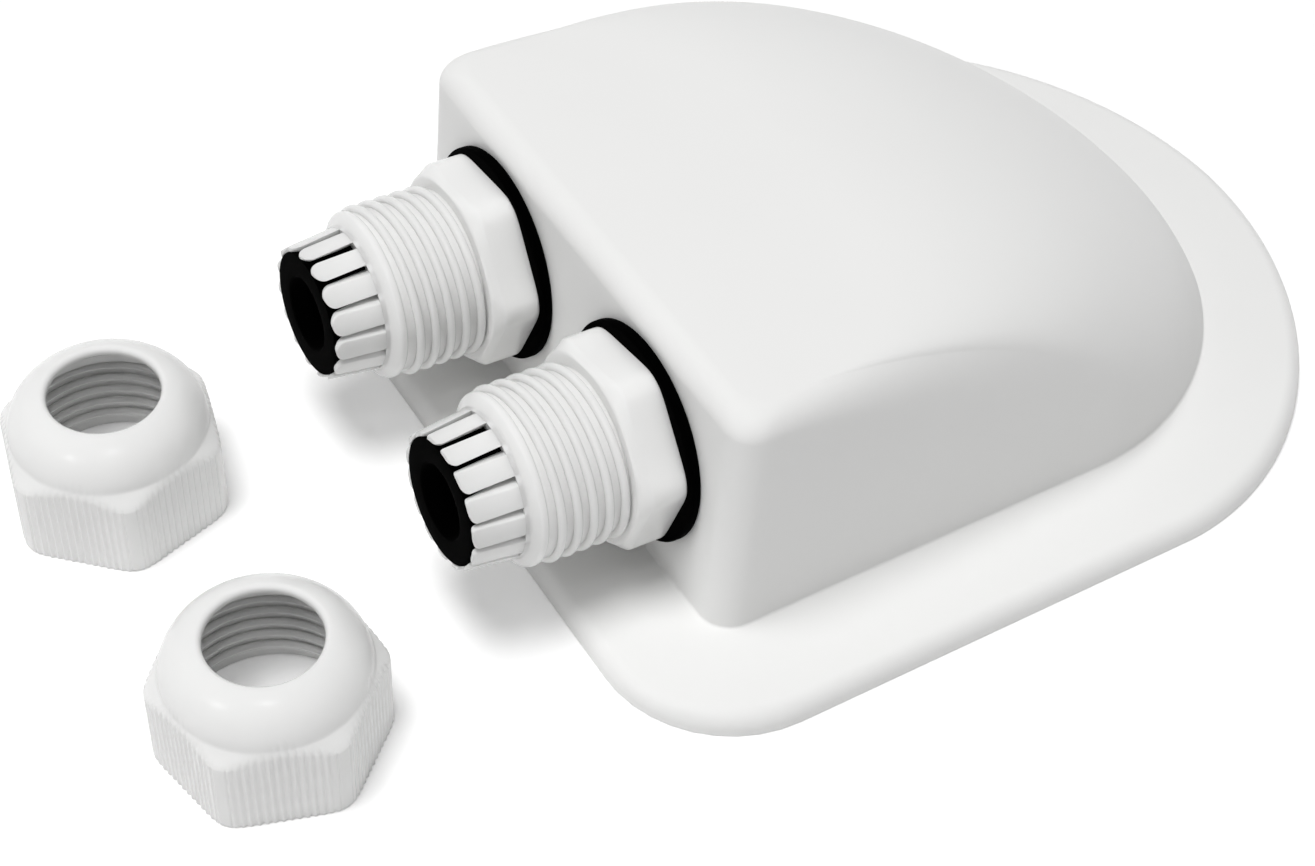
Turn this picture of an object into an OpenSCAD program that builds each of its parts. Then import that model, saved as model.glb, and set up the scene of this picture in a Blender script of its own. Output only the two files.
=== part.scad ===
// Double cable entry box for a roof: a moulded housing with a wide flange, two cable glands in its
// front wall, and the glands' dome nuts standing beside it. Millimetres, +Z up, roof at z = 0.
// The origin is on the roof under the middle of the front wall, and the glands point towards -Y.

/* [Flange] */
// Width of the flange along the gland row
flange_w = 104; // [100:0.5:120]
// Reach of the flange in front of the housing
flange_front = 13.5; // [10:0.5:20]
// Distance from the front wall to the end of the flange's straight sides
flange_side = 61.5; // [55:0.5:70]
// Depth of the flange's rounded back
flange_back = 45.5; // [42:0.5:60]
// Radius of the flange's front corners
flange_corner = 17; // [10:0.5:24]
// Fullness of the flange's back curve, where 2 is an ellipse
flange_power = 1.9; // [1.8:0.05:2.2]
// Thickness of the flange
flange_t = 3; // [2.4:0.1:5]
// Rounding of the flange's upper edge
flange_edge_r = 2.2; // [0.5:0.1:2.2]

/* [Housing] */
// Width of the housing at its foot
housing_w = 76.5; // [74:0.5:84]
// Height of the housing's flat top above the roof
housing_h = 37.2; // [33.5:0.1:46]
// Distance from the front wall to the end of the housing's straight sides
housing_side = 57; // [48:0.5:64]
// Depth of the housing's rounded back
housing_back = 37; // [32:0.5:44]
// Radius of the upright front corners
housing_corner = 4; // [3.5:0.1:8]
// Thickness of the moulded wall
wall_t = 2.5; // [1.5:0.1:3]
// Lean of the front wall from upright, degrees
front_lean = 3; // [0:0.5:5]
// Lean of the side walls from upright, degrees
side_lean = 0.5; // [0:0.25:2]
// Radius of the shoulder over the front wall
shoulder_r = 3.2; // [3:0.1:6]
// Height of the shoulder's ellipse at the very back
shoulder_drop = 60; // [45:1:80]
// How late the shoulder grows towards the back
shoulder_power = 1.6; // [1.2:0.1:2.4]
// Distance from the front wall to the end of the flat top's straight sides
top_side = 9.5; // [9:0.5:20]
// Depth of the flat top's rounded back
top_back = 21; // [12:0.5:30]
// Fullness of the flat top's back curve
top_power = 2.8; // [2:0.1:3.2]

/* [Cable glands] */
// Distance between the gland axes
gland_pitch = 35.5; // [34:0.5:37]
// Share of the free height between flange and ceiling that lies under the glands
gland_share = 0.7143; // [0.2:0.0001:0.9]
// Radius of the mounting thread
mount_r = 10; // [8.5:0.1:10.2]
// Reach of the mounting thread behind the outer face of the front wall
mount_len = 10; // [9:0.5:14]
// Width across the flats of the gland's hexagon
hex_af = 24; // [23:0.5:26]
// Radius to which the hexagon's corners are turned
hex_corner_r = 13.5; // [13.3:0.1:13.7]
// Thickness of the hexagon
hex_h = 6; // [4:0.1:8]
// Turn of the left gland's hexagon, degrees
left_hex_turn = 7; // [0:1:59]
// Turn of the right gland's hexagon, degrees
right_hex_turn = 11; // [0:1:59]
// Crest radius of the clamp thread
clamp_r = 11.2; // [10.8:0.1:11.6]
// Depth of the clamp thread
clamp_depth = 0.8; // [0.6:0.05:0.9]
// Radius of the clamp thread's round crests
crest_r = 0.65; // [0.55:0.05:0.75]
// Pitch of the clamp thread
clamp_pitch = 2.1; // [2:0.1:2.2]
// Turns of the clamp thread
clamp_turns = 5; // [3:1:5]
// Length of the collar between thread and fingers
collar_len = 2.3; // [2.2:0.1:4]
// Outer radius of the collar's round bead
collar_out_r = 10.8; // [10.65:0.05:10.9]
// Section radius of the collar's round bead
collar_r = 1.05; // [0.8:0.05:1.05]
// Number of clamping fingers
finger_count = 15; // [10:1:18]
// Length of the fingers
finger_len = 6.7; // [5:0.1:10]
// Outer radius at the root of the fingers
finger_root_r = 9.5; // [9.2:0.1:9.8]
// Outer radius at the tips of the fingers
finger_tip_r = 8.5; // [8.4:0.1:9]
// Width of the slots at the roots of the fingers
slot_w = 0.6; // [0.5:0.05:1]
// Width of the slots at the tips of the fingers
slot_tip_w = 0.3; // [0.2:0.05:0.5]
// Turn of the left gland's slots, degrees
left_slot_turn = 15.3; // [0:0.1:35]
// Turn of the right gland's slots, degrees
right_slot_turn = 21.5; // [0:0.1:35]
// Corner radius of the left gland's finger tips
left_tip_round = 1.3; // [0.2:0.1:1.3]
// Corner radius of the right gland's finger tips
right_tip_round = 0.5; // [0.2:0.1:1]
// Radius of the cable passage through the gland
passage_r = 6.5; // [6:0.1:6.8]

/* [Seals] */
// Outer radius of the sealing washer
washer_r = 14; // [13.8:0.1:15]
// Thickness of the sealing washer
washer_t = 1.5; // [1:0.1:3]
// Outer radius of the seal insert
insert_r = 7.5; // [7.2:0.1:7.6]
// Radius that the seal insert's lip flares to at the finger tips
insert_lip_r = 7.95; // [7.7:0.05:8]
// Length over which the lip flares
flare_len = 5; // [2:0.1:5]
// Length of the seal insert
insert_len = 18.5; // [14:0.5:18.5]
// Radius of the cable bore in the seal insert
insert_bore_r = 4; // [3:0.1:5.8]

/* [Lock nuts] */
// Width across the flats of the lock nut
lock_af = 27; // [26:0.5:28]
// Radius to which the lock nut's corners are turned
lock_corner_r = 15; // [14.2:0.1:15]
// Thickness of the lock nut
lock_h = 5; // [4:0.1:6]

/* [Dome nuts] */
// Width across the flats of the dome nut
dome_af = 25.5; // [25:0.1:27]
// Radius to which the dome nut's corners are turned
dome_corner_r = 14.2; // [14:0.1:14.8]
// Height of the hexagonal skirt at its corners
skirt_h = 10.7; // [9:0.1:11]
// Height of the sloping shelf between the skirt's corners and the dome
shelf_h = 2.2; // [2:0.1:2.6]
// Radius of the round dome above the skirt
dome_r = 12.4; // [12.2:0.05:12.4]
// Height of the crown of the dome
dome_h = 18.2; // [17:0.1:21]
// Radius of the dome's round top edge
dome_edge_r = 6.4; // [5.5:0.1:7]
// Radius of the cable hole
hole_r = 6.9; // [6:0.1:7.5]
// Straight height of the cable hole
hole_len = 1.1; // [1:0.1:3]
// Grip ribs on each flat
rib_count = 14; // [8:1:14]
// Distance between the grip ribs
rib_pitch = 0.92; // [0.8:0.02:0.96]
// Width of a grip rib's crest
rib_w = 0.3; // [0.2:0.05:0.5]
// Depth of the grooves between the ribs
rib_depth = 0.3; // [0.1:0.05:0.4]
// Place of the left dome nut along the gland row
left_nut_x = -20.9; // [-30:0.1:-18]
// Place of the left dome nut in front of the housing
left_nut_y = -52; // [-60:0.1:-48]
// Turn of the left dome nut, degrees
left_nut_turn = 47; // [0:1:59]
// Place of the right dome nut along the gland row
right_nut_x = 23.2; // [18:0.1:30]
// Place of the right dome nut in front of the housing
right_nut_y = -51.2; // [-60:0.1:-48]
// Turn of the right dome nut, degrees
right_nut_turn = 12; // [0:1:59]

/* [Fits] */
// Radial room round the mounting thread in the wall, the washer and the lock nut
mount_clearance = 0.2; // [0.1:0.05:0.4]
// Radial room round the seal insert
insert_clearance = 0.05; // [0.02:0.01:0.2]
// Radial room between the clamp thread and the dome nut's thread
clamp_clearance = 0.2; // [0.1:0.05:0.3]

/* [Hidden] */
$fn = 96;
left = -1;
right = 1;

// Overlap of joined shapes and overrun of cutters
cut = 1;
// Least rounding that is left inside the moulded wall
least_r = 0.6;

// Steps along the moulded outlines and over the shoulder
front_n = 5;
corner_n = 6;
side_n = 9;
back_n = 22;
edge_n = 5;
shoulder_n = 12;
tip_n = 5;

// Reach of the slots into the seal's pocket
slot_depth = 0.4;

// Radius under the clamp thread
clamp_root_r = clamp_r - clamp_depth;

// Distances along a gland's axis from the outer face of the front wall
hex_s = washer_t + hex_h;
first_crest_s = hex_s + clamp_pitch / 2;
thread_end_s = hex_s + clamp_turns * clamp_pitch;
finger_s = thread_end_s + collar_len;
tip_s = finger_s + finger_len;
insert_s = tip_s - insert_len;
flare_s = tip_s - flare_len;

wall_front = wall_t / cos(front_lean);
gland_z = lerp(flange_t + washer_r, housing_h - wall_t - lock_af / 2, gland_share);
gland_y = tan(front_lean) * (gland_z - flange_t);
nut_thread_r = clamp_r + clamp_clearance;
nut_minor_r = nut_thread_r - clamp_depth;
nut_thread_top = dome_h - hole_len - (nut_minor_r - hole_r);

function lerp(a, b, t) = a + (b - a) * t;

// Right half of a D outline, from the middle of the front to the middle of the rounded back
function right_half(half, front, corner, side, back, power) = concat(
    [for (k = [0 : front_n - 1]) [(half - corner) * k / front_n, front]],
    [for (k = [0 : corner_n])
        [half - corner + corner * sin(90 * k / corner_n), front + corner - corner * cos(90 * k / corner_n)]],
    [for (k = [1 : side_n]) [half, lerp(front + corner, side, k / side_n)]],
    [for (k = [1 : back_n])
        [half * pow(cos(90 * k / back_n), 2 / power), side + back * pow(sin(90 * k / back_n), 2 / power)]]
);

// Whole outline at one height, or at one height for each point
function mirrored(points) = concat(
    points,
    [for (k = [len(points) - 2 : -1 : 1]) [-points[k].x, points[k].y, points[k].z]]
);
function at_height(points, z) = [for (p = points) [p.x, p.y, z]];

function flange_ring(inset, z) = mirrored(at_height(
    right_half(flange_w / 2 - inset, -flange_front + inset, flange_corner - inset,
        flange_side, flange_back - inset, flange_power), z));

// Walls and shoulder of the housing, from its foot up to the edge of the flat top. The shoulder is a
// quarter ellipse at each point of the outline. Over the front wall it is a plain radius. Towards the
// back it grows until it takes up the whole wall.
function housing_rings(inset, front_inset, foot_z) = let (
    half = housing_w / 2 - inset,
    top_z = housing_h - inset,
    corner = max(housing_corner - inset, least_r),
    radius = max(shoulder_r - inset, least_r),
    foot = right_half(half, front_inset, corner, housing_side, housing_back - inset, 2),
    top = right_half(half - radius, front_inset + radius, corner, top_side, top_back, top_power),
    back_y = housing_side + housing_back - inset,
    far = [for (p = foot) max(0, (p.y - front_inset - corner) / (back_y - front_inset - corner))],
    drop = [for (t = far) lerp(radius, shoulder_drop, pow(t, shoulder_power))],
    start = [for (d = drop) asin(max(0, 1 - (top_z - foot_z) / d))],
    wall = [for (d = drop) min(1, max(0, top_z - d - foot_z) / radius)]
) concat(
    [mirrored([for (p = foot) leaned(p, foot_z, half, front_inset, back_y)])],
    [for (k = [1 : shoulder_n]) mirrored([for (i = [0 : len(foot) - 1])
        let (
            turn = lerp(start[i], 90, (k - wall[i]) / (shoulder_n - wall[i])),
            plan = lerp(foot[i], top[i], 1 - cos(turn) / cos(start[i])),
            z = top_z - drop[i] * (1 - sin(turn))
        ) leaned(plan, z, half, front_inset, back_y)])]
);

// Moves a point of the wall in with its height, as the mould's draft does
function leaned(p, z, half, front, back) = [
    p.x * (1 - tan(side_lean) * (z - flange_t) / half),
    p.y + tan(front_lean) * (z - flange_t) * (1 - (p.y - front) / (back - front)),
    z
];

// Closed solid through a stack of rings with the same number of points, with a fan of faces at each end
module skin(rings) {
    n = len(rings[0]);
    m = len(rings);
    function middle(ring) = (ring[0] + ring[n / 2]) / 2;
    polyhedron(
        points = concat([for (ring = rings) each ring], [middle(rings[0]), middle(rings[m - 1])]),
        faces = [
            for (i = [0 : n - 1]) let (j = (i + 1) % n) each concat(
                [[m * n, i, j]],
                [for (r = [0 : m - 2]) each [
                    [r * n + i, (r + 1) * n + i, (r + 1) * n + j],
                    [r * n + i, (r + 1) * n + j, r * n + j]
                ]],
                [[m * n + 1, (m - 1) * n + j, (m - 1) * n + i]]
            )
        ],
        convexity = 6
    );
}

// Places a child on a gland's axis, with the outer face of the front wall at its z = 0
module on_gland(side) {
    translate([side * gland_pitch / 2, gland_y, gland_z])
        rotate([90 - front_lean, 0, 0])
            children();
}

function of_side(side, left_value, right_value) = side == left ? left_value : right_value;

// Turned block with a 45 degree chamfer at its far end
module chamfered_round(r, h, chamfer) {
    cylinder(r = r, h = h - chamfer);
    translate([0, 0, h - chamfer]) cylinder(r1 = r, r2 = r - chamfer, h = chamfer);
}

// Hexagonal block with its corners turned to a radius and a chamfer at its far end
module turned_hex(af, corner_r, h) {
    intersection() {
        linear_extrude(h) circle(r = af / 2 / cos(30), $fn = 6);
        chamfered_round(corner_r, h, corner_r - af / 2);
    }
}

module housing() {
    inner = housing_rings(wall_t, wall_front, 0);
    outer = housing_rings(0, 0, flange_t);
    edge = [for (k = [0 : edge_n])
        flange_ring(flange_edge_r * (1 - cos(90 * k / edge_n)), flange_t - flange_edge_r * (1 - sin(90 * k / edge_n)))];
    color("white")
        difference() {
            skin(concat([for (k = [len(inner) - 1 : -1 : 0]) inner[k]], [flange_ring(0, 0)], edge, outer));
            for (side = [left, right])
                on_gland(side)
                    translate([0, 0, -wall_t - cut])
                        cylinder(r = mount_r + mount_clearance, h = wall_t + 2 * cut);
        }
}

// Slot between two fingers, with the corners of the tips rounded on both sides of it. The last step of
// each round runs on past the tips.
module finger_slot(tip_round) {
    function on_round(k) = let (turn = 90 * k / tip_n)
        [slot_tip_w / 2 + tip_round * (1 - cos(turn)), tip_s - tip_round * (1 - sin(turn))];
    past = 2 * on_round(tip_n) - on_round(tip_n - 1);
    side = concat(
        [[slot_w / 2, finger_s]],
        [for (k = [0 : tip_n - 1]) on_round(k)],
        [past, [past.x, tip_s + cut]]
    );
    rotate([90, 0, 90])
        translate([0, 0, insert_r - slot_depth])
            linear_extrude(clamp_r)
                polygon(concat(side, [for (k = [len(side) - 1 : -1 : 0]) [-side[k].x, side[k].y]]));
}

module gland_body(side) {
    color("white")
        on_gland(side)
            difference() {
                union() {
                    translate([0, 0, -mount_len]) cylinder(r = mount_r, h = mount_len + washer_t + cut);
                    translate([0, 0, washer_t])
                        rotate([0, 0, of_side(side, left_hex_turn, right_hex_turn)])
                            turned_hex(hex_af, hex_corner_r, hex_h);
                    rotate_extrude() gland_profile();
                }
                translate([0, 0, -mount_len - cut]) cylinder(r = passage_r, h = mount_len + tip_s + 2 * cut);
                rotate_extrude()
                    polygon(concat([[0, insert_s]], insert_outline(insert_clearance, cut), [[0, tip_s + cut]]));
                for (k = [0 : finger_count - 1])
                    rotate([0, 0, of_side(side, left_slot_turn, right_slot_turn) + 360 * k / finger_count])
                        finger_slot(of_side(side, left_tip_round, right_tip_round));
            }
}

// Half section of the clamp thread, the collar's round bead and the cone that the fingers are cut from
module gland_profile() {
    collar_s = thread_end_s + collar_r;
    translate([0, hex_s - cut]) square([clamp_root_r, collar_s - hex_s + cut]);
    for (k = [0 : clamp_turns - 1])
        translate([clamp_r - crest_r, first_crest_s + k * clamp_pitch]) circle(r = crest_r);
    translate([collar_out_r - collar_r, collar_s]) circle(r = collar_r);
    polygon([[0, thread_end_s], [finger_root_r, thread_end_s], [finger_tip_r, tip_s], [0, tip_s]]);
}

// Outside of the seal insert in half section, widened by a clearance and run past the finger tips
function insert_outline(clearance, overrun) = [
    [insert_r + clearance, insert_s],
    [insert_r + clearance, flare_s],
    [lerp(insert_r, insert_lip_r, 1 + overrun / flare_len) + clearance, tip_s + overrun]
];

module sealing_washer(side) {
    color("black")
        on_gland(side)
            difference() {
                cylinder(r = washer_r, h = washer_t);
                translate([0, 0, -cut]) cylinder(r = mount_r + mount_clearance, h = washer_t + 2 * cut);
            }
}

module seal_insert(side) {
    color("black")
        on_gland(side)
            rotate_extrude()
                polygon(concat([[insert_bore_r, insert_s]], insert_outline(0, 0), [[insert_bore_r, tip_s]]));
}

module lock_nut(side) {
    color("white")
        on_gland(side)
            translate([0, 0, -wall_t])
                mirror([0, 0, 1])
                    difference() {
                        turned_hex(lock_af, lock_corner_r, lock_h);
                        translate([0, 0, -cut]) cylinder(r = mount_r + mount_clearance, h = lock_h + 2 * cut);
                    }
}

// Outline of the ribbed skirt: a hexagon whose flats carry shallow grooves between narrow ribs
module ribbed_hex() {
    flat = dome_af / 2;
    half_groove = (rib_pitch - rib_w) / 2;
    difference() {
        circle(r = flat / cos(30), $fn = 6);
        for (turn = [30 : 60 : 330], k = [0 : rib_count])
            rotate(turn)
                translate([flat, (k - rib_count / 2) * rib_pitch])
                    polygon([
                        [cut, -half_groove], [0, -half_groove], [-rib_depth, 0], [0, half_groove],
                        [cut, half_groove]
                    ]);
    }
}

module dome_nut(side) {
    color("white")
        translate([of_side(side, left_nut_x, right_nut_x), of_side(side, left_nut_y, right_nut_y), 0])
            difference() {
                union() {
                    rotate([0, 0, of_side(side, left_nut_turn, right_nut_turn)])
                        intersection() {
                            linear_extrude(skirt_h + shelf_h) ribbed_hex();
                            chamfered_round(dome_corner_r, skirt_h + shelf_h, shelf_h);
                        }
                    rotate_extrude() dome_profile();
                }
                rotate_extrude() dome_bore();
            }
}

// Half section of the dome, a straight wall under a large round edge
module dome_profile() {
    edge_z = dome_h - dome_edge_r;
    translate([0, skirt_h - cut]) square([dome_r, edge_z - skirt_h + cut]);
    intersection() {
        translate([dome_r - dome_edge_r, edge_z]) circle(r = dome_edge_r);
        square([dome_r + cut, dome_h]);
    }
    translate([0, skirt_h - cut]) square([dome_r - dome_edge_r, dome_h - skirt_h + cut]);
}

// Half section of the space in the dome nut: thread, conical seat and cable hole
module dome_bore() {
    translate([0, -cut]) square([nut_minor_r, nut_thread_top + cut]);
    for (z = [clamp_pitch : clamp_pitch : nut_thread_top - clamp_pitch / 2])
        translate([nut_thread_r - crest_r, z]) circle(r = crest_r);
    polygon([
        [0, nut_thread_top], [nut_minor_r, nut_thread_top],
        [hole_r, nut_thread_top + nut_minor_r - hole_r], [0, nut_thread_top + nut_minor_r - hole_r]
    ]);
    square([hole_r, dome_h + cut]);
}

housing();
gland_body(left);  // left_gland_body
gland_body(right);  // right_gland_body
sealing_washer(left);  // left_sealing_washer
sealing_washer(right);  // right_sealing_washer
seal_insert(left);  // left_seal_insert
seal_insert(right);  // right_seal_insert
lock_nut(left);  // left_lock_nut
lock_nut(right);  // right_lock_nut
dome_nut(left);  // left_dome_nut
dome_nut(right);  // right_dome_nut
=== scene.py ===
"""Double cable entry box for a roof: the looks of its housing, glands, seals and loose dome nuts.

Sizes are millimetres in the part's own frame: roof at z = 0, glands pointing towards -Y. Meshes are
turned to metres when a piece is placed.
"""
import math

import bmesh
import bpy
import numpy as np
from mathutils import Matrix, Vector


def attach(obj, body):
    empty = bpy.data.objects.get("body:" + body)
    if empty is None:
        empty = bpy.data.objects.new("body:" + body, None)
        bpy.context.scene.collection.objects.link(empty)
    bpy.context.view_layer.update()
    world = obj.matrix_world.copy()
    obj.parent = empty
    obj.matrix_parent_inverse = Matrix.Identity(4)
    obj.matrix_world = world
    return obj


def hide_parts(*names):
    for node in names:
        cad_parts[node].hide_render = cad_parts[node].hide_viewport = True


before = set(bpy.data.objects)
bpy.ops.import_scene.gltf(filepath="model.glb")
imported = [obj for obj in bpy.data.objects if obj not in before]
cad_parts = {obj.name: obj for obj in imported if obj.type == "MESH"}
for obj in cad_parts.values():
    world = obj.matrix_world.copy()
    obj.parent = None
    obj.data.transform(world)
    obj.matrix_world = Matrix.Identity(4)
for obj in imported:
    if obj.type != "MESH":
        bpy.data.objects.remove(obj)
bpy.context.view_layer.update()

# Units
MM = 0.001
TURN = 2 * math.pi

# Photograph's frame and the camera that was fitted to it
IMAGE_W = 1315
FOCAL_PX = 2648.7
SENSOR_W = 36
VIEW_AZIMUTH = math.radians(57.292)
VIEW_ELEVATION = math.radians(46.691)
VIEW_ROLL = math.radians(2.828)
VIEW_TARGET = Vector((31.886, -5.717, 35.786))
VIEW_DISTANCE = 295.187
CLIP_START = 10

# Flange
FLANGE_W = 104
FLANGE_FRONT = 13.5
FLANGE_SIDE = 61.5
FLANGE_BACK = 45.5
FLANGE_CORNER = 17
FLANGE_POWER = 1.9
FLANGE_T = 3
FLANGE_EDGE_R = 2.2

# Housing
HOUSING_W = 76.5
HOUSING_H = 37.2
HOUSING_SIDE = 57
HOUSING_BACK = 37
HOUSING_CORNER = 4
FOOT_FILLET = 0.35
WALL_T = 2.5
FRONT_LEAN = math.radians(3)
SIDE_LEAN = math.radians(0.5)
SHOULDER_R = 3.2
SHOULDER_DROP = 60
SHOULDER_POWER = 1.6
TOP_SIDE = 9.5
TOP_BACK = 21
TOP_POWER = 2.8
LEAST_R = 0.6

# Cable glands, with distances along the axis from the outer face of the front wall
GLAND_PITCH = 35.5
GLAND_Z = 20
MOUNT_R = 10
MOUNT_LEN = 10
MOUNT_PITCH = 1.5
MOUNT_RIDGE_R = 0.6
MOUNT_END_R = 0.5
MOUNT_CLEARANCE = 0.2
DRILL_CORE_R = 0.01
WASHER_R = 14
WASHER_T = 1.5
HEX_AF = 24
HEX_ROUND = 2.6
HEX_CHAMFER = 1.5
HEX_H = 6
CLAMP_R = 11.2
CLAMP_DEPTH = 0.8
CREST_R = 0.55
CLAMP_PITCH = 2.1
CLAMP_TURNS = 5
COLLAR_LEN = 2.3
COLLAR_OUT_R = 10.8
COLLAR_START = 0.3
COLLAR_RISE = 0.3
COLLAR_FLAT = 0.7
COLLAR_EDGE_R = 0.6
NECK_STEP = 0.15
FINGER_COUNT = 15
FINGER_LEN = 6.7
FINGER_ROOT_R = 9.5
FINGER_TIP_R = 8.5
SLOT_W = 1.2
SLOT_TIP_W = 0.65
SLOT_SLANT = math.radians(37)
FINGER_EDGE_R = 0.1
PASSAGE_R = 6.5
INSERT_R = 7.5
INSERT_LIP_R = 7.95
INSERT_BORE_R = 4
INSERT_LEN = 18.5
FLARE_LEN = 5
FLARE_BEND_R = 1
LIP_EDGE_R = 0.15
MOUTH_GROW = 0.8
MOUTH_LEN = 2
MOUTH_BEND_R = 0.8
INSERT_CLEARANCE = 0.05
LOCK_AF = 27
LOCK_ROUND = 3
LOCK_CHAMFER = 1.5
LOCK_H = 5

HEX_S = WASHER_T + HEX_H
THREAD_END_S = HEX_S + CLAMP_TURNS * CLAMP_PITCH
FINGER_S = THREAD_END_S + COLLAR_LEN
TIP_S = FINGER_S + FINGER_LEN
INSERT_S = TIP_S - INSERT_LEN
FLARE_S = TIP_S - FLARE_LEN
CLAMP_ROOT_R = CLAMP_R - CLAMP_DEPTH
GLAND_Y = math.tan(FRONT_LEAN) * (GLAND_Z - FLANGE_T)

# Dome nuts
DOME_AF = 25.5
DOME_ROUND = 2.9
DOME_CORNER_R = 14.2
SKIRT_H = 10.7
DOME_R = 12.4
DOME_H = 18.2
DOME_EDGE_R = 6.4
HOLE_R = 6.9
HOLE_LEN = 1.1
HOLE_RIM_R = 0.7
RIB_COUNT = 14
RIB_PITCH = 0.92
RIB_DEPTH = 0.2
CLAMP_CLEARANCE = 0.2
NUT_THREAD_R = CLAMP_R + CLAMP_CLEARANCE
NUT_MINOR_R = NUT_THREAD_R - CLAMP_DEPTH
NUT_RIDGE_R = 0.5
NUT_THREAD_TOP = DOME_H - HOLE_LEN - (NUT_MINOR_R - HOLE_R)

# What differs between the two glands and between their nuts
SIDES = {
    "left": {"x": -GLAND_PITCH / 2, "hex_turn": 7, "slot_turn": 15.3, "tip_rounds": (1.3, 1.3),
             "nut": (-20.9, -52.0), "nut_turn": 47},
    "right": {"x": GLAND_PITCH / 2, "hex_turn": 11, "slot_turn": 21.5, "tip_rounds": (0.9, 0.35),
              "nut": (23.2, -51.2), "nut_turn": 12},
}

# Threads: where they start, and per thread the turns over which its ends shrink and to what share
THREAD_START = math.radians(230)
CLAMP_ENDS = (0.05, 0.85)
MOUNT_ENDS = (0.2, 0.3)
NUT_ENDS = (0.1, 0.3)

# Softness of moulded edges, from a crisp step to a soft corner
EDGE_CRISP = 0.2
EDGE_EASED = 0.3
EDGE_SOFT = 0.35
EDGE_ROUND = 0.4
CORNER_SOFT = 0.7
SHARP_ANGLE = math.radians(42)
BEVEL_ANGLE = math.radians(50)

# Fineness of the round forms
AROUND = 240
NUT_AROUND = 720
RIDGE_AROUND = 16
ARC_STEPS = 5
FRONT_STEPS = 20
CORNER_STEPS = 10
SIDE_STEPS = 40
BACK_STEPS = 72
SHOULDER_STEPS = 36
EDGE_STEPS = 8
FINGER_COLUMNS = 9
TIP_STEPS = 12
SHELF_STEPS = 10
CROWN_STEPS = 23
RIM_STEPS = 7

# Mould marks: how much the gloss varies, and the detail of the noise behind clouds and grain
GLOSS_SPREAD = 0.05
CLOUD_DETAIL = 3
GRAIN_DETAIL = 4

# Light
SKY_LEVEL = 0.26
FLOOR_LIFT = 0.2
LAMPS = {
    "key": {"place": (0.05, -0.45, 2.2), "size": 1.0, "watts": 36, "glint": False},
    "side_glint": {"place": (0.171, -0.119, 0.414), "size": 0.03, "watts": 0.08, "glint": True},
    "front_glint": {"place": (0.042, -0.242, 0.181), "size": 0.02, "watts": 0.025, "glint": True},
}
LAMP_AIM = (0, 0.02, 0.01)
FLOOR_SIZE = 4
FLOOR_DROP = 0.1 * MM


def colour(code):
    """Linear colour of an sRGB hex value such as F2F2F0."""
    channels = [int(code[k:k + 2], 16) / 255 for k in (0, 2, 4)]
    return tuple(c / 12.92 if c <= 0.04045 else ((c + 0.055) / 1.055) ** 2.4 for c in channels) + (1,)


def add(tree, kind, inputs=None, **settings):
    """Adds a node with its settings, and fills its sockets with values or links."""
    node = tree.nodes.new(kind)
    for key, value in settings.items():
        setattr(node, key, value)
    for key, value in (inputs or {}).items():
        if isinstance(value, bpy.types.NodeSocket):
            tree.links.new(value, node.inputs[key])
        else:
            node.inputs[key].default_value = value
    return node


# Materials

def grain_scale(size_mm):
    """Noise scale whose grains are about size_mm across, on Object coordinates in metres."""
    return 1 / (size_mm * MM)


def emptied(holder):
    """Empty node tree of a material or of the world."""
    holder.use_nodes = True
    holder.node_tree.nodes.clear()
    return holder.node_tree


def finish_material(tree, shader):
    """Leads a shader to the material's output."""
    add(tree, "ShaderNodeOutputMaterial", {"Surface": shader.outputs[0]})


def moulded(name, pale, deep, roughness, grain_mm, grain_depth_mm, cloud_mm, **shader_inputs):
    """Moulded plastic or rubber: an even colour with faint flow clouds, and its mould's fine grain."""
    material = bpy.data.materials.new(name)
    tree = emptied(material)
    place = add(tree, "ShaderNodeTexCoord").outputs["Object"]
    clouds = add(tree, "ShaderNodeTexNoise", {
        "Vector": place, "Scale": grain_scale(cloud_mm), "Detail": CLOUD_DETAIL})
    tint = add(tree, "ShaderNodeMix", {
        "Factor": clouds.outputs["Fac"], "A": colour(deep), "B": colour(pale)}, data_type="RGBA")
    grain = add(tree, "ShaderNodeTexNoise", {
        "Vector": place, "Scale": grain_scale(grain_mm), "Detail": GRAIN_DETAIL})
    gloss = add(tree, "ShaderNodeMapRange", {
        "Value": grain.outputs["Fac"],
        "To Min": roughness - GLOSS_SPREAD, "To Max": roughness + GLOSS_SPREAD})
    bump = add(tree, "ShaderNodeBump", {
        "Height": grain.outputs["Fac"], "Distance": grain_depth_mm * MM, "Strength": 1})
    shader = add(tree, "ShaderNodeBsdfPrincipled", {
        "Base Color": tint.outputs[2], "Roughness": gloss.outputs[0], "Normal": bump.outputs[0],
        **shader_inputs})
    finish_material(tree, shader)
    return material


# ABS, moulded in a finely eroded tool: white, satin, with a soft broad sheen
housing_abs = moulded("moulded_abs", "F4F4F3", "F0F0EF", 0.42, 0.7, 0.004, 30, IOR=1.53)
# Nylon, moulded in a polished tool: a colder white with small clear highlights and a little glow
gland_nylon = moulded("moulded_nylon", "F6F6F5", "F2F2F1", 0.24, 0.9, 0.003, 9, IOR=1.53,
                      **{"Subsurface Weight": 0.4, "Subsurface Radius": (1, 1, 1),
                         "Subsurface Scale": 2.5 * MM})
# Nitrile rubber, pressed: black and matt, so that it hardly answers the light
seal_rubber = moulded("pressed_rubber", "010101", "000000", 0.8, 0.35, 0.006, 5,
                      **{"Specular IOR Level": 0.01})


# Outlines and meshes

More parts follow.
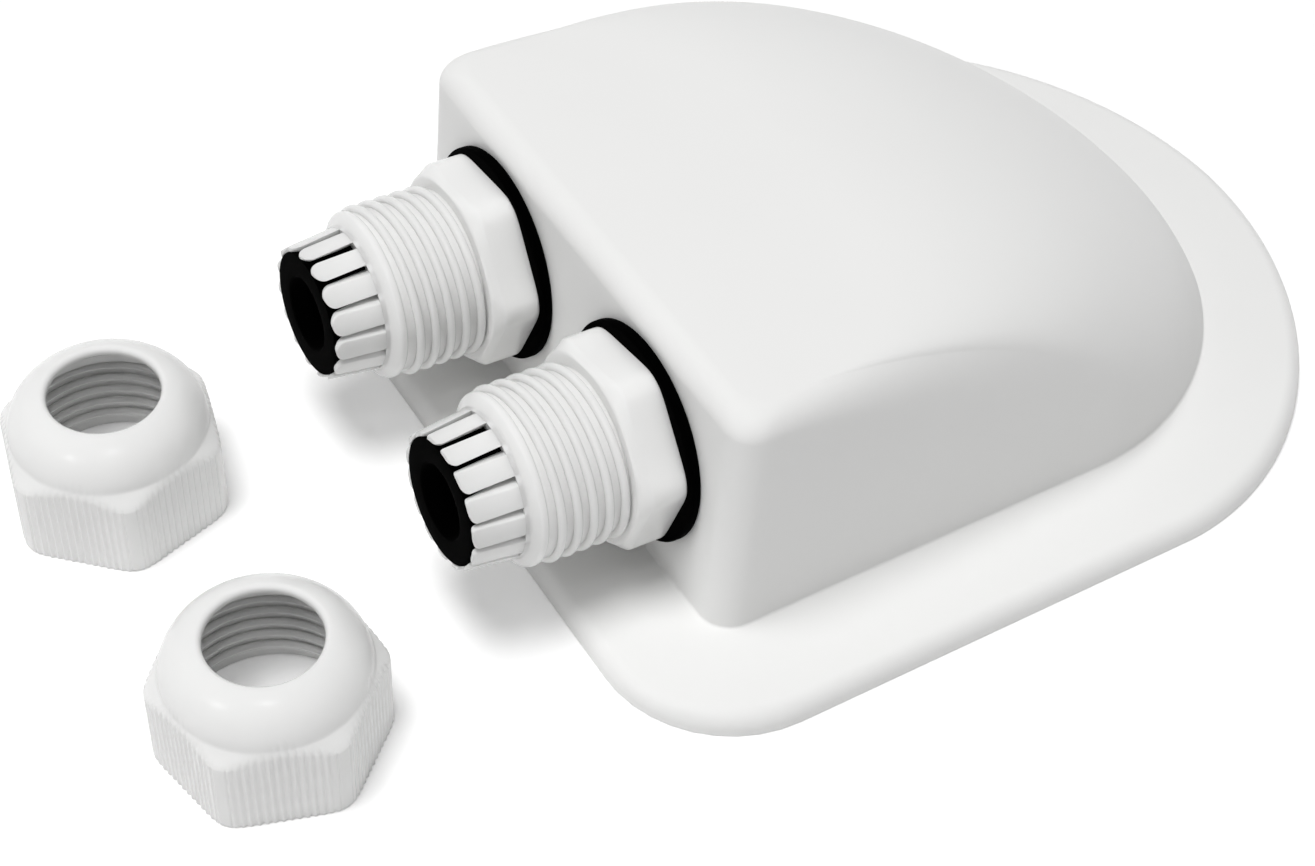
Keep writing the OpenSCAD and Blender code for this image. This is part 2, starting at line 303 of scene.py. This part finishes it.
def rounded(corners):
    """Closed outline through corners (x, y, radius), with an arc for each radius that isn't 0."""
    outline = []
    for k, (x, y, radius) in enumerate(corners):
        here = Vector((x, y))
        if radius == 0:
            outline.append(tuple(here))
            continue
        back = (Vector(corners[k - 1][:2]) - here).normalized()
        on = (Vector(corners[(k + 1) % len(corners)][:2]) - here).normalized()
        half = back.angle(on) / 2
        centre = here + (back + on).normalized() * (radius / math.sin(half))
        first = here + back * (radius / math.tan(half)) - centre
        last = here + on * (radius / math.tan(half)) - centre
        for step in range(ARC_STEPS + 1):
            spoke = first.slerp(last, step / ARC_STEPS).normalized()
            outline.append(tuple(centre + spoke * radius))
    return outline


def mesh_of(points, faces):
    """Mesh with its faces turned outwards. The points still are in millimetres."""
    mesh = bpy.data.meshes.new("mesh")
    mesh.from_pydata([tuple(p) for p in points], [], faces)
    work = bmesh.new()
    work.from_mesh(mesh)
    bmesh.ops.recalc_face_normals(work, faces=work.faces)
    work.to_mesh(mesh)
    work.free()
    return mesh


def soft_min(a, b, width):
    """The lesser of two lengths, blended over a width where they are nearly equal."""
    near = np.maximum(width - np.abs(a - b), 0) / width
    return np.minimum(a, b) - near * near * width / 4


def from_flat(angle, turn):
    """Angle from the middle of the nearest flat of a hexagon."""
    return np.abs((angle - math.radians(turn)) % (TURN / 6) - TURN / 12)


def hexagon(af, turn, corner_round):
    """Radius of a hexagon with rounded corners at an angle, for an array of angles."""
    flat = af / 2
    half = TURN / 12
    centre = (flat - corner_round) / math.cos(half)
    flat_end = math.atan(centre * math.sin(half) / flat)

    def radius(angle):
        off = from_flat(angle, turn)
        across = np.minimum(centre * np.sin(half - off), corner_round)
        on_round = centre * np.cos(half - off) + np.sqrt(corner_round ** 2 - across ** 2)
        return np.where(off < flat_end, flat / np.cos(off), on_round)
    return radius


def turned(outline, limit=None, steps=AROUND):
    """Closed half section (radius, height) carried round the axis, within a limit at each angle."""
    angle = np.linspace(0, TURN, steps, endpoint=False)
    radius, height = np.array(outline).T
    radius = np.repeat(radius[None, :], steps, 0)
    if limit:
        radius = soft_min(radius, limit(angle)[:, None], CORNER_SOFT)
    points = np.stack([radius * np.cos(angle)[:, None], radius * np.sin(angle)[:, None],
                       np.repeat(height[None, :], steps, 0)], -1)
    n = len(outline)
    faces = [(i * n + j, (i + 1) % steps * n + j, (i + 1) % steps * n + (j + 1) % n, i * n + (j + 1) % n)
             for i in range(steps) for j in range(n)]
    return mesh_of(points.reshape(-1, 3), faces)


def stacked(rings):
    """Solid through a stack of closed rings with as many points each, capped at both ends."""
    n = len(rings[0])
    faces = [(r * n + i, r * n + (i + 1) % n, (r + 1) * n + (i + 1) % n, (r + 1) * n + i)
             for r in range(len(rings) - 1) for i in range(n)]
    faces += [tuple(range(n - 1, -1, -1)), tuple(range((len(rings) - 1) * n, len(rings) * n))]
    return mesh_of(np.concatenate(rings), faces)


def plate(outside, inside, columns):
    """Closed plate between an outer and an inner grid of points, with the same rows and columns."""
    layer = len(outside)
    rows = layer // columns
    faces = []
    for base in (0, layer):
        for r in range(rows - 1):
            for c in range(columns - 1):
                a = base + r * columns + c
                faces.append((a, a + 1, a + columns + 1, a + columns))
    # Once round the outer grid: first row, last column, last row and first column
    rim = list(range(columns))
    rim += [r * columns + columns - 1 for r in range(1, rows)]
    rim += [layer - 1 - c for c in range(1, columns)]
    rim += [r * columns for r in range(rows - 2, 0, -1)]
    for a, b in zip(rim, rim[1:] + rim[:1]):
        faces.append((a, b, b + layer, a + layer))
    return mesh_of(outside + inside, faces)


def bevelled(mesh, radius):
    """The same mesh with its sharp edges rounded."""
    work = bmesh.new()
    work.from_mesh(mesh)
    edges = [e for e in work.edges if e.calc_face_angle() > BEVEL_ANGLE]
    bmesh.ops.bevel(work, geom=edges, offset=radius, segments=2, profile=0.5, affect="EDGES")
    work.to_mesh(mesh)
    work.free()
    return mesh


def settled(holder):
    """Plain mesh of an object with its modifiers worked out. The object is removed."""
    bpy.context.view_layer.update()
    graph = bpy.context.evaluated_depsgraph_get()
    mesh = bpy.data.meshes.new_from_object(holder.evaluated_get(graph))
    bpy.data.objects.remove(holder)
    return mesh


def holder_of(mesh):
    """Object in the scene that carries a mesh while modifiers work on it."""
    holder = bpy.data.objects.new("holder", mesh)
    bpy.context.scene.collection.objects.link(holder)
    return holder


def grown(tree, mesh, sizes):
    """Mesh that a node tree makes from a mesh and its named sizes."""
    holder = holder_of(mesh)
    modifier = holder.modifiers.new("grow", "NODES")
    modifier.node_group = tree
    for item in tree.interface.items_tree:
        if item.in_out == "INPUT" and item.name in sizes:
            modifier[item.identifier] = sizes[item.name]
    return settled(holder)


def fitted(name, node, material, meshes, place):
    """Joins meshes into one finished piece at its place, in metres, and puts it in the node's stead."""
    work = bmesh.new()
    for mesh in meshes:
        work.from_mesh(mesh)
    whole = bpy.data.meshes.new(name)
    work.to_mesh(whole)
    work.free()
    whole.transform(Matrix.Scale(MM, 4) @ place)
    whole.materials.clear()
    whole.materials.append(material)
    whole.polygons.foreach_set("material_index", [0] * len(whole.polygons))
    whole.shade_smooth()
    whole.set_sharp_from_angle(angle=SHARP_ANGLE)
    piece = bpy.data.objects.new(name, whole)
    bpy.context.scene.collection.objects.link(piece)
    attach(piece, "root")
    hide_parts(node)
    return piece


# Node trees for what repeats or follows a path

def start_tree(name, sizes):
    """Node tree that takes a shape, named sizes and a material, and the sockets that give them."""
    tree = bpy.data.node_groups.new(name, "GeometryNodeTree")
    tree.interface.new_socket("Geometry", in_out="INPUT", socket_type="NodeSocketGeometry")
    for size, kind in sizes.items():
        tree.interface.new_socket(size, in_out="INPUT", socket_type=f"NodeSocket{kind}")
    tree.interface.new_socket("Material", in_out="INPUT", socket_type="NodeSocketMaterial")
    tree.interface.new_socket("Geometry", in_out="OUTPUT", socket_type="NodeSocketGeometry")
    return tree, add(tree, "NodeGroupInput").outputs


def finish_tree(tree, given, geometry):
    """Makes copies real and gives the result its material."""
    whole = add(tree, "GeometryNodeRealizeInstances", {"Geometry": geometry})
    dressed = add(tree, "GeometryNodeSetMaterial", {
        "Geometry": whole.outputs[0], "Material": given["Material"]})
    add(tree, "NodeGroupOutput", {"Geometry": dressed.outputs[0]})
    return tree


def about_axis(tree, angle):
    """Rotation by an angle about the axis."""
    return add(tree, "FunctionNodeEulerToRotation", {
        0: add(tree, "ShaderNodeCombineXYZ", {"Z": angle}).outputs[0]}).outputs[0]


def ring_of_copies():
    """Copies of one shape round the axis, from a starting angle."""
    tree, given = start_tree("ring_of_copies", {"Count": "Int", "Start": "Float"})
    index = add(tree, "GeometryNodeInputIndex").outputs[0]
    points = add(tree, "GeometryNodePoints", {"Count": given["Count"]})
    step = add(tree, "ShaderNodeMath", {0: TURN, 1: given["Count"]}, operation="DIVIDE")
    angle = add(tree, "ShaderNodeMath", {0: index, 1: step.outputs[0], 2: given["Start"]},
                operation="MULTIPLY_ADD")
    copies = add(tree, "GeometryNodeInstanceOnPoints", {
        "Points": points.outputs[0], "Instance": given["Geometry"],
        "Rotation": about_axis(tree, angle.outputs[0])})
    return finish_tree(tree, given, copies.outputs[0])


def thread_ridge():
    """Round ridge of a thread: a circle swept along a right-hand helix about the axis. Over the run-out
    at both ends it shrinks to a share of its size, so that it sinks into the core."""
    tree, given = start_tree("thread_ridge", {
        "Radius": "Float", "Pitch": "Float", "Turns": "Float", "Section": "Float", "Bottom": "Float",
        "Start": "Float", "Run-out": "Float", "End size": "Float"})
    rise = add(tree, "ShaderNodeMath", {0: given["Pitch"], 1: given["Turns"]}, operation="MULTIPLY")
    helix = add(tree, "GeometryNodeCurveSpiral", {
        "Resolution": AROUND // 2, "Rotations": given["Turns"], "Start Radius": given["Radius"],
        "End Radius": given["Radius"], "Height": rise.outputs[0], "Reverse": True})
    lift = add(tree, "ShaderNodeCombineXYZ", {"Z": given["Bottom"]})
    placed = add(tree, "GeometryNodeTransform", {
        "Geometry": helix.outputs[0], "Translation": lift.outputs[0],
        "Rotation": about_axis(tree, given["Start"])})
    section = add(tree, "GeometryNodeCurvePrimitiveCircle", {
        "Resolution": RIDGE_AROUND, "Radius": given["Section"]})
    along = add(tree, "GeometryNodeSplineParameter").outputs["Factor"]
    left_over = add(tree, "ShaderNodeMath", {0: 1.0, 1: along}, operation="SUBTRACT")
    nearer = add(tree, "ShaderNodeMath", {0: along, 1: left_over.outputs[0]}, operation="MINIMUM")
    from_end = add(tree, "ShaderNodeMath", {0: nearer.outputs[0], 1: given["Turns"]},
                   operation="MULTIPLY")
    size = add(tree, "ShaderNodeMapRange", {
        "Value": from_end.outputs[0], "From Max": given["Run-out"],
        "To Min": given["End size"], "To Max": 1.0})
    ridge = add(tree, "GeometryNodeCurveToMesh", {
        "Curve": placed.outputs[0], "Profile Curve": section.outputs[0], "Scale": size.outputs[0],
        "Fill Caps": True})
    return finish_tree(tree, given, ridge.outputs[0])


copies_tree = ring_of_copies()
thread_tree = thread_ridge()


def thread(path_r, pitch, turns, section, bottom, ends):
    """Ridge of one thread: a round section along a helix. Its ends say the run-out and the end size."""
    run_out, end_size = ends
    return grown(thread_tree, bpy.data.meshes.new("empty"), {
        "Radius": path_r, "Pitch": pitch, "Turns": float(turns), "Section": section, "Bottom": bottom,
        "Start": THREAD_START, "Run-out": run_out, "End size": end_size, "Material": gland_nylon})


# Housing

def right_half(half, front, corner, side, back, power):
    """Right half of a D outline, from the middle of the front to the middle of the rounded back."""
    k = np.arange(FRONT_STEPS) / FRONT_STEPS
    edge = np.stack([(half - corner) * k, np.full(FRONT_STEPS, front)], 1)
    turn = np.linspace(0, math.pi / 2, CORNER_STEPS + 1)
    bend = np.stack([half - corner + corner * np.sin(turn), front + corner - corner * np.cos(turn)], 1)
    k = np.arange(1, SIDE_STEPS + 1) / SIDE_STEPS
    flank = np.stack([np.full(SIDE_STEPS, half), front + corner + (side - front - corner) * k], 1)
    turn = np.arange(1, BACK_STEPS + 1) / BACK_STEPS * math.pi / 2
    round_back = np.stack([half * np.abs(np.cos(turn)) ** (2 / power),
                           side + back * np.sin(turn) ** (2 / power)], 1)
    return np.concatenate([edge, bend, flank, round_back])


def mirrored(points):
    """Whole outline from its right half, with each point's height."""
    left = points[-2:0:-1] * (-1, 1, 1)
    return np.concatenate([points, left])


def at_height(outline, z):
    """Outline with the same height at each point."""
    return np.concatenate([outline, np.full((len(outline), 1), z)], 1)


def flange_ring(inset, z):
    """Outline of the flange, drawn in by an inset."""
    half = right_half(FLANGE_W / 2 - inset, inset - FLANGE_FRONT, FLANGE_CORNER - inset, FLANGE_SIDE,
                      FLANGE_BACK - inset, FLANGE_POWER)
    return mirrored(at_height(half, z))


def leaned(plan, z, half, front, back):
    """Moves points of the wall in with their height, as the mould's draft does."""
    x, y = plan.T
    rise = z - FLANGE_T
    return np.stack([x * (1 - math.tan(SIDE_LEAN) * rise / half),
                     y + math.tan(FRONT_LEAN) * rise * (1 - (y - front) / (back - front)),
                     np.broadcast_to(z, x.shape)], 1)


def housing_rings(inset, front_inset, foot_z):
    """Walls and shoulder, from the foot up to the edge of the flat top. The shoulder is a quarter
    ellipse at each point of the outline: a plain radius in front, growing to the whole wall behind."""
    half = HOUSING_W / 2 - inset
    top_z = HOUSING_H - inset
    corner = max(HOUSING_CORNER - inset, LEAST_R)
    radius = max(SHOULDER_R - inset, LEAST_R)
    back_y = HOUSING_SIDE + HOUSING_BACK - inset
    foot = right_half(half, front_inset, corner, HOUSING_SIDE, HOUSING_BACK - inset, 2)
    top = right_half(half - radius, front_inset + radius, corner, TOP_SIDE, TOP_BACK, TOP_POWER)
    far = np.maximum(0, (foot[:, 1] - front_inset - corner) / (back_y - front_inset - corner))
    drop = radius + (SHOULDER_DROP - radius) * far ** SHOULDER_POWER
    start = np.arcsin(np.maximum(0, 1 - (top_z - foot_z) / drop))
    wall = np.minimum(1, np.maximum(0, top_z - drop - foot_z) / radius)
    rings = [mirrored(leaned(foot, foot_z, half, front_inset, back_y))]
    for k in range(1, SHOULDER_STEPS + 1):
        turn = start + (math.pi / 2 - start) * (k - wall) / (SHOULDER_STEPS - wall)
        plan = foot + (top - foot) * (1 - np.cos(turn) / np.cos(start))[:, None]
        z = top_z - drop * (1 - np.sin(turn))
        rings.append(mirrored(leaned(plan, z, half, front_inset, back_y)))
    return rings


def foot_rings():
    """Small fillet between the flange and the foot of the walls."""
    rings = []
    for turn in np.linspace(0, math.pi / 2, ARC_STEPS, endpoint=False):
        grow = FOOT_FILLET * (1 - math.sin(turn))
        z = FLANGE_T + FOOT_FILLET * (1 - math.cos(turn))
        half = right_half(HOUSING_W / 2 + grow, -grow, HOUSING_CORNER + grow, HOUSING_SIDE,
                          HOUSING_BACK + grow, 2)
        rings.append(mirrored(at_height(half, z)))
    return rings


def gland_place(x):
    """From a gland's own axis, with the outer face of the front wall at 0, to the part's frame."""
    return Matrix.Translation((x, GLAND_Y, GLAND_Z)) @ Matrix.Rotation(math.pi / 2 - FRONT_LEAN, 4, "X")


def drilled(mesh):
    """Housing with the two round holes for the glands' mounting threads."""
    shell = holder_of(mesh)
    drills = []
    for side in SIDES.values():
        drill = turned([(DRILL_CORE_R, -2 * WALL_T), (MOUNT_R + MOUNT_CLEARANCE, -2 * WALL_T),
                        (MOUNT_R + MOUNT_CLEARANCE, WALL_T), (DRILL_CORE_R, WALL_T)])
        drill.transform(gland_place(side["x"]))
        drills.append(holder_of(drill))
        cut = shell.modifiers.new("hole", "BOOLEAN")
        cut.operation = "DIFFERENCE"
        cut.solver = "EXACT"
        cut.object = drills[-1]
    result = settled(shell)
    for drill in drills:
        bpy.data.objects.remove(drill)
    return result


def make_housing():
    """One shell: up the inside of the walls, out under the flange, over its edge and up the outside."""
    edge = []
    for turn in np.linspace(0, math.pi / 2, EDGE_STEPS + 1):
        edge.append(flange_ring(FLANGE_EDGE_R * (1 - math.cos(turn)),
                                FLANGE_T - FLANGE_EDGE_R * (1 - math.sin(turn))))
    inner = housing_rings(WALL_T, WALL_T / math.cos(FRONT_LEAN), 0)
    outer = housing_rings(0, 0, FLANGE_T + FOOT_FILLET)
    shell = stacked(inner[::-1] + [flange_ring(0, 0)] + edge + foot_rings() + outer)
    fitted("housing_shell", "housing", housing_abs, [drilled(shell)], Matrix())


# Glands

def insert_radius(s):
    """Outer radius of the seal insert at a distance along the axis."""
    return INSERT_R + (INSERT_LIP_R - INSERT_R) * max(0, (s - FLARE_S) / FLARE_LEN)


def finger_radius(s):
    """Outer radius of the cone that the fingers lie on."""
    return FINGER_ROOT_R + (FINGER_TIP_R - FINGER_ROOT_R) * (s - THREAD_END_S) / (TIP_S - THREAD_END_S)


def finger_reach(s, radius, tip_round):
    """Angle from the middle of a finger to its flank at a distance along the axis."""
    past = min(tip_round, max(0, s - (TIP_S - tip_round)))
    back = tip_round - math.sqrt(tip_round ** 2 - past ** 2)
    slot = SLOT_W + (SLOT_TIP_W - SLOT_W) * (s - FINGER_S) / FINGER_LEN
    return TURN / FINGER_COUNT / 2 - math.asin((slot / 2 + back) / radius)


def finger(tip_rounds):
    """One clamping finger at angle 0, between slanted slots that narrow towards its rounded tip."""
    most = max(tip_rounds)
    rows = [FINGER_S - EDGE_SOFT, FINGER_S + FINGER_LEN / 3, TIP_S - most]
    rows += [TIP_S - most * (1 - math.sin(t)) for t in np.linspace(0, math.pi / 2, TIP_STEPS + 1)[1:]]

    def face(radius_at):
        points = []
        for s in rows:
            radius = radius_at(s)
            shift = (finger_radius(s) - radius) * math.tan(SLOT_SLANT) / radius
            first, last = (finger_reach(s, radius, tip_round) for tip_round in tip_rounds)
            for angle in np.linspace(shift - first, shift + last, FINGER_COLUMNS):
                points.append((radius * math.cos(angle), radius * math.sin(angle), s))
        return points
    inner_face = face(lambda s: insert_radius(s) + INSERT_CLEARANCE)
    return bevelled(plate(face(finger_radius), inner_face, FINGER_COLUMNS), FINGER_EDGE_R)


def gland_tube():
    """Mounting spigot, core of the clamp thread and collar, bored for the cable and the seal insert."""
    core_r = MOUNT_R - MOUNT_RIDGE_R
    pocket_r = INSERT_R + INSERT_CLEARANCE
    hidden_s = WASHER_T + HEX_H / 2
    neck_r = finger_radius(FINGER_S)
    foot_s = THREAD_END_S + COLLAR_START
    near_s = foot_s + COLLAR_RISE
    far_s = near_s + COLLAR_FLAT
    return turned(rounded([
        (PASSAGE_R, -MOUNT_LEN, EDGE_EASED), (core_r, -MOUNT_LEN, MOUNT_END_R), (core_r, hidden_s, 0),
        (CLAMP_ROOT_R, hidden_s, 0), (CLAMP_ROOT_R, foot_s, EDGE_CRISP),
        (COLLAR_OUT_R, near_s, EDGE_ROUND), (COLLAR_OUT_R, far_s, COLLAR_EDGE_R),
        (neck_r + NECK_STEP, FINGER_S - NECK_STEP, EDGE_ROUND), (neck_r, FINGER_S + EDGE_SOFT, 0),
        (pocket_r, FINGER_S, 0), (pocket_r, INSERT_S, 0), (PASSAGE_R, INSERT_S, EDGE_CRISP)]))


def gland_hex(turn):
    """Spanner hexagon with rounded corners and a turned, soft chamfer in front."""
    core_r = MOUNT_R - MOUNT_RIDGE_R - EDGE_SOFT
    wide_r = HEX_AF / 2 + HEX_CHAMFER
    return turned(rounded([
        (core_r, WASHER_T, 0), (wide_r, WASHER_T, EDGE_SOFT),
        (wide_r, HEX_S - HEX_CHAMFER, 2 * EDGE_SOFT), (HEX_AF / 2, HEX_S, 2 * EDGE_SOFT),
        (core_r, HEX_S, 0)]), hexagon(HEX_AF, turn, HEX_ROUND))


def make_gland(name, side):
    """Gland body: tube, hexagon, clamp thread, mounting thread and ring of fingers."""
    clamp = thread(CLAMP_R - CREST_R, CLAMP_PITCH, CLAMP_TURNS, CREST_R, HEX_S, CLAMP_ENDS)
    spigot_turns = (MOUNT_LEN - 3 * MOUNT_RIDGE_R) / MOUNT_PITCH
    spigot = thread(MOUNT_R - MOUNT_RIDGE_R, MOUNT_PITCH, spigot_turns, MOUNT_RIDGE_R,
                    2 * MOUNT_RIDGE_R - MOUNT_LEN, MOUNT_ENDS)
    half_step = TURN / FINGER_COUNT / 2
    fingers = grown(copies_tree, finger(side["tip_rounds"]), {
        "Count": FINGER_COUNT, "Start": math.radians(side["slot_turn"]) + half_step,
        "Material": gland_nylon})
    fitted(f"{name}_gland", f"{name}_gland_body", gland_nylon,
           [gland_tube(), gland_hex(side["hex_turn"]), clamp, spigot, fingers], gland_place(side["x"]))


def make_washer(name, side):
    """Flat sealing ring between the hexagon and the front wall."""
    inner_r = MOUNT_R + MOUNT_CLEARANCE
    ring = turned(rounded([
        (inner_r, 0, EDGE_CRISP), (WASHER_R, 0, EDGE_ROUND), (WASHER_R, WASHER_T, EDGE_ROUND),
        (inner_r, WASHER_T, EDGE_CRISP)]))
    fitted(f"{name}_washer", f"{name}_sealing_washer", seal_rubber, [ring],
           gland_place(side["x"]))


def make_insert(name, side):
    """Rubber sleeve inside the fingers, flared at its lip and at the mouth of its bore."""
    sleeve = turned(rounded([
        (INSERT_BORE_R, INSERT_S, EDGE_EASED), (INSERT_R, INSERT_S, EDGE_EASED),
        (INSERT_R, FLARE_S, FLARE_BEND_R), (INSERT_LIP_R, TIP_S, LIP_EDGE_R),
        (INSERT_BORE_R + MOUTH_GROW, TIP_S, EDGE_ROUND),
        (INSERT_BORE_R, TIP_S - MOUTH_LEN, MOUTH_BEND_R)]))
    fitted(f"{name}_insert", f"{name}_seal_insert", seal_rubber, [sleeve],
           gland_place(side["x"]))


def make_lock_nut(name, side):
    """Flat hexagon nut behind the front wall, chamfered on its far side."""
    inner_r = MOUNT_R + MOUNT_CLEARANCE
    wide_r = LOCK_AF / 2 + LOCK_CHAMFER
    low = -WALL_T - LOCK_H
    nut = turned(rounded([
        (inner_r, low, EDGE_ROUND), (LOCK_AF / 2, low, EDGE_SOFT),
        (wide_r, low + LOCK_CHAMFER, EDGE_SOFT), (wide_r, -WALL_T, EDGE_SOFT),
        (inner_r, -WALL_T, EDGE_EASED)]), hexagon(LOCK_AF, 0, LOCK_ROUND))
    fitted(f"{name}_back_nut", f"{name}_lock_nut", gland_nylon, [nut],
           gland_place(side["x"]))


# Dome nuts

def nut_shell(turn):
    """Dome, hexagonal skirt with upright grip ribs on its flats, and plain inside. A shelf at 45 degrees
    leads from the skirt's corners to the round edge of the dome, which ends at the cable hole."""
    edge_z = DOME_H - DOME_EDGE_R
    arc_x = DOME_R - DOME_EDGE_R
    # On the shelf, radius and height add up to the same length, which gives where it meets the round edge
    slope = DOME_CORNER_R + SKIRT_H - arc_x - edge_z
    first = math.asin(slope / DOME_EDGE_R / math.sqrt(2)) - math.pi / 4
    last = math.acos((HOLE_R + HOLE_RIM_R - arc_x) / DOME_EDGE_R)
    crown = [(arc_x + DOME_EDGE_R * math.cos(t), edge_z + DOME_EDGE_R * math.sin(t))
             for t in np.linspace(first, last, CROWN_STEPS + 1)]
    shelf = [(DOME_CORNER_R - d, SKIRT_H + d)
             for d in np.linspace(EDGE_SOFT, DOME_CORNER_R - crown[0][0], SHELF_STEPS, endpoint=False)]
    rim_z = crown[-1][1] - HOLE_RIM_R
    rim = [(HOLE_R + HOLE_RIM_R * (1 - math.sin(t)), rim_z + HOLE_RIM_R * math.cos(t))
           for t in np.linspace(0, math.pi / 2, RIM_STEPS + 1)[1:]]
    inside = [(HOLE_R, DOME_H - HOLE_LEN), (NUT_MINOR_R, NUT_THREAD_TOP),
              (NUT_MINOR_R, NUT_THREAD_TOP - CLAMP_PITCH / 2),
              (NUT_THREAD_R, NUT_THREAD_TOP - CLAMP_PITCH), (NUT_THREAD_R, EDGE_SOFT),
              (NUT_THREAD_R + EDGE_SOFT, 0)]
    foot = [(DOME_CORNER_R, 0, EDGE_SOFT), (DOME_CORNER_R, SKIRT_H, EDGE_SOFT)]
    full = hexagon(DOME_AF, turn, DOME_ROUND)

    def limit(angle):
        along = DOME_AF / 2 * np.tan(from_flat(angle, turn))
        groove = RIB_DEPTH * (1 + np.cos(TURN * along / RIB_PITCH)) / 2
        return full(angle) - np.where(along < RIB_COUNT * RIB_PITCH / 2, groove, 0)
    section = foot + [(r, z, 0) for r, z in shelf + crown + rim + inside]
    return turned(rounded(section), limit, NUT_AROUND)


def make_dome_nut(name, side):
    """Loose dome nut with the thread that fits the clamp thread."""
    turns = (NUT_THREAD_TOP - CLAMP_PITCH) / CLAMP_PITCH
    ridge = thread(NUT_MINOR_R + NUT_RIDGE_R, CLAMP_PITCH, turns, NUT_RIDGE_R, CLAMP_PITCH / 2, NUT_ENDS)
    fitted(f"{name}_nut", f"{name}_dome_nut", gland_nylon,
           [nut_shell(side["nut_turn"]), ridge], Matrix.Translation((*side["nut"], 0)))


make_housing()
for side_name, side_sizes in SIDES.items():
    make_gland(side_name, side_sizes)
    make_washer(side_name, side_sizes)
    make_insert(side_name, side_sizes)
    make_lock_nut(side_name, side_sizes)
    make_dome_nut(side_name, side_sizes)


# Stage: white floor that keeps the shadow, white surroundings, a large soft lamp and two small ones

def seen_directly(tree):
    """1 for what the camera sees, also by reflection or through glass, and 0 for light on the object."""
    path = add(tree, "ShaderNodeLightPath")
    shiny = add(tree, "ShaderNodeMath", {
        0: path.outputs["Is Glossy Ray"], 1: path.outputs["Is Transmission Ray"]}, operation="MAXIMUM")
    return add(tree, "ShaderNodeMath", {0: path.outputs["Is Camera Ray"], 1: shiny.outputs[0]},
               operation="MAXIMUM").outputs[0]


def make_floor():
    """White card under the object, lifted a little where the camera sees it."""
    material = bpy.data.materials.new("white_floor")
    tree = emptied(material)
    card = add(tree, "ShaderNodeBsdfDiffuse", {"Color": colour("F5F5F5")})
    lift = add(tree, "ShaderNodeMath", {0: seen_directly(tree), 1: FLOOR_LIFT}, operation="MULTIPLY")
    glow = add(tree, "ShaderNodeEmission", {"Strength": lift.outputs[0]})
    finish_material(tree, add(tree, "ShaderNodeAddShader", {0: card.outputs[0], 1: glow.outputs[0]}))
    half = FLOOR_SIZE / 2
    mesh = bpy.data.meshes.new("floor")
    mesh.from_pydata([(-half, -half, -FLOOR_DROP), (half, -half, -FLOOR_DROP), (half, half, -FLOOR_DROP),
                      (-half, half, -FLOOR_DROP)], [], [(0, 1, 2, 3)])
    mesh.materials.append(material)
    floor = bpy.data.objects.new("floor", mesh)
    bpy.context.scene.collection.objects.link(floor)


def make_sky():
    """White surroundings that light the object at a lower level than they show."""
    world = bpy.data.worlds.new("white_room")
    tree = emptied(world)
    level = add(tree, "ShaderNodeMapRange", {
        "Value": seen_directly(tree), "To Min": SKY_LEVEL, "To Max": 1})
    room = add(tree, "ShaderNodeBackground", {"Strength": level.outputs[0]})
    add(tree, "ShaderNodeOutputWorld", {"Surface": room.outputs[0]})
    bpy.context.scene.world = world


def make_lamp(name, place, size, watts, glint):
    """Round lamp aimed at the object, which shows in gloss only where it makes a glint."""
    lamp = bpy.data.lights.new(name, "AREA")
    lamp.shape = "DISK"
    lamp.size = size
    lamp.energy = watts
    holder = bpy.data.objects.new(name, lamp)
    holder.location = place
    holder.visible_glossy = glint
    aim = Vector(LAMP_AIM) - Vector(place)
    holder.rotation_euler = aim.to_track_quat("-Z", "Y").to_euler()
    bpy.context.scene.collection.objects.link(holder)


def make_camera():
    """Camera of the photograph, turned about the target by azimuth, elevation and roll."""
    a, e, r = VIEW_AZIMUTH, VIEW_ELEVATION, VIEW_ROLL
    back = Vector((math.sin(a) * math.cos(e), -math.cos(a) * math.cos(e), math.sin(e)))
    level = Vector((math.cos(a), math.sin(a), 0))
    up = back.cross(level)
    right = math.cos(r) * level + math.sin(r) * up
    above = math.cos(r) * up - math.sin(r) * level
    camera = bpy.data.cameras.new("camera")
    camera.sensor_fit = "HORIZONTAL"
    camera.sensor_width = SENSOR_W
    camera.lens = FOCAL_PX / IMAGE_W * SENSOR_W
    camera.clip_start = CLIP_START * MM
    holder = bpy.data.objects.new("camera", camera)
    place = Matrix((right, above, back)).transposed().to_4x4()
    place.translation = (VIEW_TARGET + VIEW_DISTANCE * back) * MM
    holder.matrix_world = place
    bpy.context.scene.collection.objects.link(holder)
    bpy.context.scene.camera = holder


make_floor()
make_sky()
for lamp_name, lamp_sizes in LAMPS.items():
    make_lamp(lamp_name, **lamp_sizes)
make_camera()
bpy.context.scene.view_settings.view_transform = "Standard"
